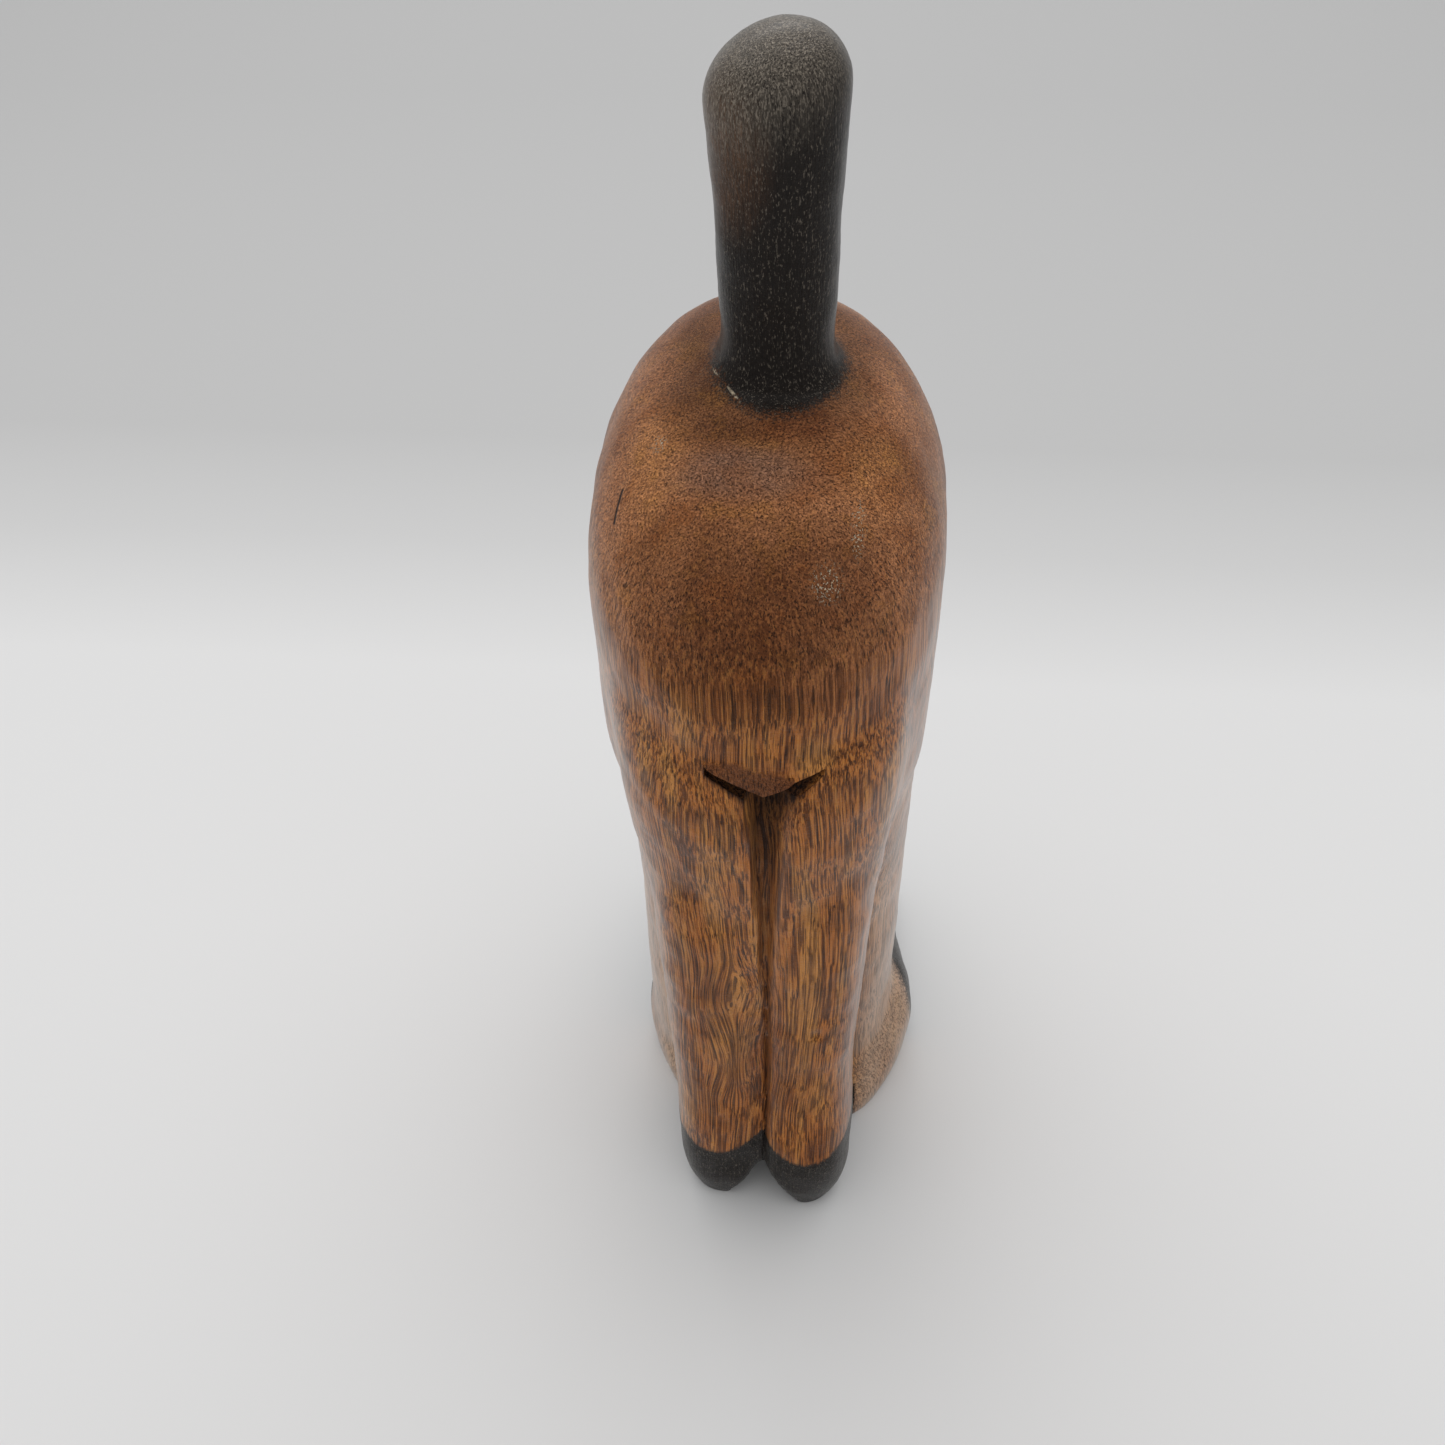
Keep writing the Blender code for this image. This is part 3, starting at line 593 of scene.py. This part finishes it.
class Wire:
    # one socket of a node tree: arithmetic on it adds Math nodes
    def __init__(self, tree, socket):
        self.tree = tree
        self.socket = socket

    def add(self, kind, settings=None, values=None, output=0):
        # any node: its type, its settings, then the values or links of its sockets
        node = self.tree.nodes.new(kind)
        for key, value in (settings or {}).items():
            if key == "stops":
                ramp = node.color_ramp
                while len(ramp.elements) < len(value):
                    ramp.elements.new(0.5)
                for element, (place, colour) in zip(ramp.elements, value):
                    element.position = place
                    element.color = colour
            else:
                setattr(node, key, value)
        for key, value in (values or {}).items():
            if isinstance(value, Wire):
                self.tree.links.new(value.socket, node.inputs[key])
            else:
                node.inputs[key].default_value = value
        return Wire(self.tree, node.outputs[output])

    def maths(self, operation, *others):
        return self.add("ShaderNodeMath", {"operation": operation}, dict(enumerate((self,) + others)))

    def __add__(self, other):
        return self.maths("ADD", other)

    __radd__ = __add__

    def __mul__(self, other):
        return self.maths("MULTIPLY", other)

    __rmul__ = __mul__

    def __sub__(self, other):
        return self.maths("SUBTRACT", other)

    def __rsub__(self, other):
        return self.add("ShaderNodeMath", {"operation": "SUBTRACT"}, {0: other, 1: self})

    def __truediv__(self, other):
        return self.maths("DIVIDE", other)

    def between(self, low, high):
        # 0 at low and 1 at high, smooth in between
        return self.add("ShaderNodeMapRange", {"interpolation_type": "SMOOTHSTEP"},
                        {0: self, 1: low, 2: high, 3: 0.0, 4: 1.0})

    def attribute(self, name):
        return self.add("ShaderNodeAttribute", {"attribute_name": name}, None, 2)

    def length(self):
        return self.add("ShaderNodeVectorMath", {"operation": "LENGTH"}, {0: self}, 1)

    def vector(self, second, third):
        # three numbers as one vector
        return self.add("ShaderNodeCombineXYZ", None, {0: self, 1: second, 2: third})

    def dot(self, other):
        return self.add("ShaderNodeVectorMath", {"operation": "DOT_PRODUCT"}, {0: self, 1: other}, 1)

    def times(self, vector):
        # a constant vector multiplied by this number
        return self.add("ShaderNodeVectorMath", {"operation": "SCALE"}, {0: vector, 3: self})

    def scaled(self, x, y, z):
        # this vector with each axis multiplied
        return self.add("ShaderNodeVectorMath", {"operation": "MULTIPLY"}, {0: self, 1: (x, y, z)})

    def shifted(self, other):
        return self.add("ShaderNodeVectorMath", {"operation": "ADD"}, {0: self, 1: other})

    def noise(self, scale, detail=2.0, rough=0.5, output=0):
        values = {"Vector": self, "Scale": scale, "Detail": detail, "Roughness": rough}
        return self.add("ShaderNodeTexNoise", None, values, output)

    def axis(self, index):
        return self.add("ShaderNodeSeparateXYZ", None, {0: self}, index)

    def blend(self, first, second):
        # this factor mixes two colours
        return self.add("ShaderNodeMix", {"data_type": "RGBA"}, {0: self, 6: first, 7: second}, 2)


def newMaterial(name):
    material = bpy.data.materials.new(name)
    material.use_nodes = True
    tree = material.node_tree
    shader = tree.nodes["Principled BSDF"]
    place = Wire(tree, tree.nodes.new("ShaderNodeTexCoord").outputs["Object"])
    return material, shader, place


def colour(red, green, blue):
    # a colour as seen on screen, turned into the linear values a shader takes
    screen = np.array([red, green, blue]) / 255
    linear = np.where(screen <= 0.04045, screen / 12.92, ((screen + 0.055) / 1.055) ** 2.4)
    return (*linear.tolist(), 1.0)


woodLook = {
    "ground": colour(188, 114, 50), "ochre": colour(210, 144, 72), "russet": colour(154, 86, 40),
    # the last colour on the next line is painted shade for the cuts
    "dark": colour(72, 36, 14), "pore": colour(44, 22, 10), "cutShade": colour(28, 14, 8),
    "rump": colour(156, 98, 58), "glow": colour(208, 142, 96), "deep": colour(80, 31, 6),
    # on the next line, the last colour is painted sheen for the low flanks, and the one before it a painted
    # highlight for the rump
    "red": colour(134, 62, 26), "rumpSheen": colour(160, 122, 102), "flankSheen": colour(220, 196, 174),
    "facet": colour(124, 76, 48), "paint": colour(26, 19, 14), "worn": colour(98, 70, 50),
    # the fleck colour on the next line serves both for pale flecks and for painted sheen on the tail's crest
    "line": colour(150, 118, 86), "paleFleckAndSheen": colour(176, 164, 148), "chalk": colour(214, 196, 168),
    "pith": (13.0, -8.0), "pithLean": (-0.040, 0.055), "ring": 2.2,
    "loopSlope": 0.26, "loopTurn": 2.0, "coatRoughness": 0.28, "specular": 0.14, "relief": 0.00050,
}
grainSize = {  # turns of each noise in a millimetre: across, from back to front, and up the grain
    "drift": (0.030, 0.030, 0.010), "fibre": (2.3, 2.3, 0.022), "hair": (4.2, 4.2, 0.060),
    "pores": (3.4, 3.4, 0.060), "grains": (2.4, 2.4, 2.4), "broad": (0.22, 0.16, 0.016),
    "tone": (0.045, 0.045, 0.030), "dash": (4.4, 4.4, 1.1), "mottle": 0.13, "grit": 1.3,
}
# soft spots and short lines of colour, placed as depths and heights like the sizes above
rumpTones = (
    # the deep spots below are painted shade: low on the rump and near the tail's root
    {"at": (0.0000, -0.0040, 0.2075), "size": (0.0270, 0.0200, 0.0225), "tone": "deep", "share": 0.60},
    {"at": (-0.0130, 0.0040, 0.2140), "size": (0.0110, 0.0160, 0.0110), "tone": "deep", "share": 0.40},
    {"at": (0.0086, 0.0196, 0.2276), "size": (0.0090, 0.0036, 0.0080), "tone": "deep", "share": 0.50},
    {"at": (-0.0056, 0.0215, 0.2289), "size": (0.0090, 0.0050, 0.0080), "tone": "red", "share": 0.55},
    {"at": (0.0190, 0.0170, 0.2250), "size": (0.0090, 0.0130, 0.0120), "tone": "ochre", "share": 0.30},
    {"at": (-0.0180, 0.0160, 0.2220), "size": (0.0080, 0.0110, 0.0120), "tone": "ochre", "share": 0.22},
    # a painted highlight on the middle of the rump
    {"at": (0.0034, 0.0114, 0.2255), "size": (0.0160, 0.0070, 0.0080), "tone": "rumpSheen", "share": 0.70},
)
patches = (
    {"at": (0.0130, -0.0096, 0.1870), "size": (0.0032, 0.02, 0.0110)},
    {"at": (-0.0100, -0.0097, 0.1795), "size": (0.0050, 0.02, 0.0075)},
    {"at": (-0.0140, 0.0004, 0.0530), "size": (0.0030, 0.02, 0.0140)},
    {"at": (0.0080, 0.0000, 0.0700), "size": (0.0060, 0.02, 0.0220)},
)
chips = (
    {"at": (-0.0157, 0.0055, 0.2187), "size": (0.0016, 0.0060, 0.0060)},
    {"at": (-0.0108, -0.0026, 0.2138), "size": (0.0034, 0.0040, 0.0045)},
    {"at": (0.0184, 0.0188, 0.2258), "size": (0.0022, 0.0022, 0.0030)},
    {"at": (0.0125, 0.0330, 0.2320), "size": (0.0012, 0.0030, 0.0028)},
)
legLoop = {"at": (0.0057, 0.0, 0.0770), "size": (0.0120, 0.02, 0.0300)}
tailWear = {"at": (0.0085, 0.0290, 0.2690), "size": (0.0095, 0.0200, 0.0150)}
seam = {"from": (0.0104, 0.0330, 0.2315), "to": (0.0046, 0.0240, 0.2300), "width": 0.00024}
growthLines = (
    {"from": (0.0088, -0.0090, 0.1600), "to": (0.0050, -0.0068, 0.1450), "width": 0.00045},
    {"from": (0.0050, -0.0068, 0.1450), "to": (0.0022, -0.0049, 0.1330), "width": 0.00055},
    {"from": (0.0022, -0.0049, 0.1330), "to": (0.0060, -0.0030, 0.1180), "width": 0.00035},
)
cracks = (
    {"from": (0.0243, 0.0143, 0.2186), "to": (0.0254, 0.0104, 0.2146), "width": 0.00032},
    {"from": (0.0266, 0.0168, 0.2200), "to": (0.0273, 0.0116, 0.2169), "width": 0.00024},
)


def nearSpot(place, spot, shift):
    # 1 at the middle of an ellipsoid spot and 0 outside it
    at = np.array(spot["at"]) * (1, -1, 1) + shift
    away = place.shifted(tuple((-at).tolist())).scaled(*(1 / size for size in spot["size"]))
    return 1 - away.length().between(0.35, 1.1)


def nearLine(place, line, shift):
    # 1 on a short straight line and 0 beyond its width: distance from the nearest point of the segment
    start, end = (np.array(line[key]) * (1, -1, 1) + shift for key in ("from", "to"))
    run = end - start
    away = place.shifted(tuple((-start).tolist()))
    along = away.dot(tuple((run / (run @ run)).tolist())).maths("MINIMUM", 1.0).maths("MAXIMUM", 0.0)
    foot = along.times(tuple((-run).tolist()))
    return 1 - away.shifted(foot).length().between(line["width"] * 0.5, line["width"] * 1.5)


def oiledWood(shift):
    # upright grain in millimetres: noise drawn out along Z, so level faces show dots and upright ones streaks;
    # growth rings around a slightly leaning pith show as nested V shapes where a face just grazes them
    material, shader, place = newMaterial("oiledWood")
    look, size = woodLook, grainSize
    mm = place.scaled(1000, 1000, 1000)
    height = mm.axis(2)

    # the grain leans with the legs, swirls on one of them, and wanders a little
    side = mm.axis(0) - legLoop["at"][0] * 1000 - shift[0] * 1000
    upLoop = height - legLoop["at"][2] * 1000
    turned = upLoop * side / (side.maths("ABSOLUTE") + look["loopTurn"]) * -look["loopSlope"]
    lean = (turned * nearSpot(place, legLoop, shift)).vector(place.attribute("grainBend") * 0.9, 0.0)
    drift = mm.scaled(*size["drift"]).noise(1.0, output=1).shifted((-0.5, -0.5, -0.5))
    bent = mm.shifted(lean).shifted(drift.scaled(11, 5, 0))

    fibre, fine, dash = (bent.scaled(*size[name]).noise(1.0, 2.0, 0.6) for name in ("fibre", "hair", "dash"))
    pores = bent.scaled(*size["pores"]).shifted((31.0, 7.0, 3.0)).noise(1.0, 1.0)
    broad = bent.scaled(*size["broad"]).noise(1.0, 3.0, 0.55)
    grains = mm.scaled(*size["grains"]).noise(1.0, 2.0, 0.6)
    tone = mm.scaled(*size["tone"]).noise(1.0)
    mottle, grit = (mm.noise(size[name], 3.0, 0.6) for name in ("mottle", "grit"))
    streak = fibre.between(0.50, 0.60)
    hair = fine.between(0.52, 0.60)
    pore = pores.between(0.60, 0.65)

    # rings: how late in its year's growth each point lies, from its distance to the pith
    across = bent.axis(0) - look["pith"][0] - height * look["pithLean"][0]
    inward = bent.axis(1) - look["pith"][1] - height * look["pithLean"][1]
    ring = (across * across + inward * inward).maths("SQRT") + (broad - 0.5) * 2.5
    late = (ring * (2 * np.pi / look["ring"])).maths("SINE").between(0.2, 1.0)

    # broad colours: golden ground with russet clouds, then the mottled rump and the facet over the notch
    rump = height.between(182, 212)
    facet = place.attribute("facetShare")
    gold = broad.between(0.48, 0.64)
    for spot in patches:
        gold = gold.maths("MAXIMUM", nearSpot(place, spot, shift))
    base = (gold * 0.80).blend(look["ground"], look["ochre"])
    base = (tone.between(0.42, 0.62) * 0.5).blend(base, look["russet"])
    base = (late * (0.30 - rump * 0.20)).blend(base, look["dark"])
    top = tone.between(0.35, 0.65).blend(look["rump"], look["glow"])
    top = ((1 - mottle.between(0.36, 0.48)) * 0.45).blend(top, look["russet"])
    top = (mottle.between(0.54, 0.66) * 0.40).blend(top, look["ochre"])
    base = (rump * 0.90).blend(base, top)
    # the rump's spots, among them painted shade and a painted highlight
    for spot in rumpTones:
        share = nearSpot(place, spot, shift) * (0.65 + mottle.between(0.40, 0.60) * 0.35) * spot["share"]
        base = share.blend(base, look[spot["tone"]])
    base = (facet * 0.8).blend(base, look["facet"])

    # the grain itself: dark streaks and hairs, specks on level faces, light fibres and open pores
    streak = streak * (1 - facet * 0.6)
    base = (streak * (0.78 - rump * 0.40 - gold * 0.15)).blend(base, look["dark"])
    base = (hair * (0.50 - rump * 0.15)).blend(base, look["dark"])
    speckle = grains.between(0.50, 0.60) * (rump + facet).maths("MINIMUM", 1.0)
    base = (speckle * 0.34).blend(base, look["dark"])
    light = (1 - fibre.between(0.34, 0.46)) * (0.50 - rump * 0.35) * (1 - facet)
    base = light.blend(base, look["ochre"])
    base = (pore * 0.75).blend(base, look["pore"])
    for line in growthLines:
        base = (nearLine(place, line, shift) * (0.4 + streak * 0.4)).blend(base, look["pore"])

    # painted shade in the cuts, and painted sheen on the low flanks
    cutShade = place.attribute("stainShare")
    base = (cutShade * (1.0 - (1 - streak) * 0.12)).blend(base, look["cutShade"])
    # how much painted sheen pales the low flanks
    sheenAmount = 0.64 - streak * 0.16 - pore * 0.2 - tone.between(0.50, 0.64) * 0.15
    base = (place.attribute("bloomShare") * sheenAmount).blend(base, look["flankSheen"])

    # dark paint with a rough edge: worn brown beside the tail's tip, pale flecks, and painted sheen and painted
    # glints greying the crest
    reach = place.attribute("paintReach") + (grit - 0.5) * 2.6 + (pores - 0.5) * 2.0
    painted = reach.between(-0.9, 0.9)
    rubbed = (0.45 + fine.between(0.45, 0.62) * 0.5) * nearSpot(place, tailWear, shift)
    dark = rubbed.blend(look["paint"], look["worn"])
    # painted sheen: the tail's crest greyed and glinting as light from above would make it
    crestSheen = (place.axis(2) + place.axis(0) * 0.5).between(0.268, 0.288)
    dark = (crestSheen * 0.27 * (1 - hair * 0.8)).blend(dark, look["paleFleckAndSheen"])
    glint = dash.between(0.50, 0.60) * crestSheen * 0.62
    flecked = (dash.between(0.56, 0.63) * grit.between(0.40, 0.58) * 0.32).maths("MAXIMUM", glint)
    dark = flecked.blend(dark, look["paleFleckAndSheen"])
    dark = (place.attribute("faceLine") * 0.75).blend(dark, look["line"])
    base = painted.blend(base, dark)

    # small damage: the pale seam, chips of bare wood, and two open cracks
    marks = nearLine(place, seam, shift) * grit.between(0.42, 0.54)
    for spot in chips:
        marks = marks.maths("MAXIMUM", nearSpot(place, spot, shift) * grains.between(0.580, 0.605))
    first, second = (nearLine(place, line, shift) for line in cracks)
    split = first.maths("MAXIMUM", second)
    base = split.blend((marks * 0.8).blend(base, look["chalk"]), look["pore"])

    rough = 0.42 + streak * 0.10 + cutShade * 0.3 - painted * 0.06
    relief = fine * 0.7 - pore * 0.7 - streak * 0.35 - speckle * 0.4 + grit * 0.8 - split * 1.5
    bump = place.add("ShaderNodeBump", None, {"Strength": 0.9, "Distance": look["relief"], "Height": relief})
    # the oil's sheen grows where the surface is seen at a low angle, less so on the rump and the low paint
    facing = place.add("ShaderNodeLayerWeight", None, {"Blend": 0.5}, 1)
    coat = (facing.between(0.30, 0.85) * (1 - rump * 0.55) + painted * 0.15) * (1 - cutShade * 0.8)
    coat = coat * (1 - painted * (1 - height.between(22, 60)) * 0.6)
    for name, wire in (("Base Color", base), ("Roughness", rough), ("Normal", bump), ("Coat Weight", coat)):
        material.node_tree.links.new(wire.socket, shader.inputs[name])
    shader.inputs["Coat Roughness"].default_value = look["coatRoughness"]
    shader.inputs["Specular IOR Level"].default_value = look["specular"]
    return material


floorLook = {
    "size": 4.0, "start": -0.20, "end": 0.80,
    # the greys are painted light and shade on the floor
    "stops": ((0.00, 219), (0.11, 219), (0.23, 219), (0.35, 216), (0.425, 197), (0.50, 184), (0.88, 177)),
}


def paleFloor():
    # one flat sheet painted with light and shade: brightest in a band beyond the cat, and greyer where it would
    # rise as a backdrop
    g, half = floorLook, floorLook["size"]
    corners = np.array([(-half, -half, 0), (half, -half, 0), (half, half, 0), (-half, half, 0)], float)
    piece = newPiece("paleFloor", newMesh("paleFloor", corners, [np.array([(0, 1, 2, 3)])]))
    material, shader, place = newMaterial("palePaper")
    share = (place.axis(1) * -1.0 - g["start"]) / (g["end"] - g["start"])
    stops = [(spot, colour(grey, grey, grey)) for spot, grey in g["stops"]]
    shade = share.add("ShaderNodeValToRGB", {"stops": stops}, {0: share})
    material.node_tree.links.new(shade.socket, shader.inputs["Base Color"])
    shader.inputs["Roughness"].default_value = 0.9
    shader.inputs["Specular IOR Level"].default_value = 0.1
    piece.data.materials.append(material)


cameraLook = {"azimuth": 185.5, "pitch": 45.0, "height": 0.364, "behind": 0.185, "aside": 0.0095,
              "roll": 0.025, "focal": 1450.0, "frame": 1445.0}


def addCamera():
    # set from the photograph: behind the cat, above it, looking steeply down
    c = cameraLook
    turn, pitch = np.radians(c["azimuth"]), np.radians(c["pitch"])
    back = np.array([np.sin(turn), -np.cos(turn), 0.0])
    level = np.cross(-back, (0.0, 0.0, 1.0))
    forward = -back * np.cos(pitch) - np.array([0, 0, np.sin(pitch)])
    up = np.cross(level, forward)
    right, up = level - c["roll"] * up, up + c["roll"] * level
    right, up = right / np.linalg.norm(right), up / np.linalg.norm(up)
    heel = np.array([0.0, cadBox[1][1] + trunkSize["rumpBack"], 0.0])
    spot = heel + back * c["behind"] - level * c["aside"]
    spot[2] = c["height"]
    data = bpy.data.cameras.new("photoCamera")
    data.sensor_width = 36.0
    data.lens = 36.0 * c["focal"] / c["frame"]
    data.clip_start = 0.01
    camera = newPiece("photoCamera", data)
    turned = Matrix(np.stack([right, up, -forward], 1).tolist()).to_4x4()
    camera.matrix_world = Matrix.Translation(Vector(spot)) @ turned
    bpy.context.scene.camera = camera


lightLook = {
    "sky": 0.55,
    "softTop": {"power": 19.1, "size": 2.4, "at": (0.06, -0.50, 1.55)},
    "farTop": {"power": 2.5, "size": 0.9, "at": (0.15, -1.15, 1.30)},
}


def addLights():
    # an even pale sky, one broad soft lamp overhead, and a smaller one beyond the cat for its sheen
    world = bpy.data.worlds.new("paleSky")
    world.use_nodes = True
    sky = world.node_tree.nodes["Background"]
    sky.inputs["Color"].default_value = (1.0, 1.0, 1.0, 1.0)
    sky.inputs["Strength"].default_value = lightLook["sky"]
    bpy.context.scene.world = world
    for name in ("softTop", "farTop"):
        g = lightLook[name]
        data = bpy.data.lights.new(name, "AREA")
        data.shape = "DISK"
        data.size = g["size"]
        data.energy = g["power"]
        lamp = newPiece(name, data)
        lamp.location = g["at"]
        lamp.rotation_euler = (Vector((0, 0, 0.12)) - lamp.location).to_track_quat("-Z", "Y").to_euler()


cat, shift = carvedCat()
cat.data.calc_loop_triangles()
print("carved", len(cat.data.vertices), "points", len(cat.data.loop_triangles), "triangles", shift.round(5))
for name, function in (("paintReach", paintReach), ("stainShare", stainShare), ("bloomShare", bloomShare),
                       ("facetShare", facetShare), ("grainBend", grainBend), ("faceLine", faceLine)):
    setCorners(cat.data, name, function, shift)
cat.data.materials.clear()
cat.data.materials.append(oiledWood(shift))
print("oiled and painted")
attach(cat, "root")
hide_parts("carved_cat")
paleFloor()
addLights()
addCamera()
bpy.context.scene.view_settings.view_transform = "Standard"
print("lit and framed")
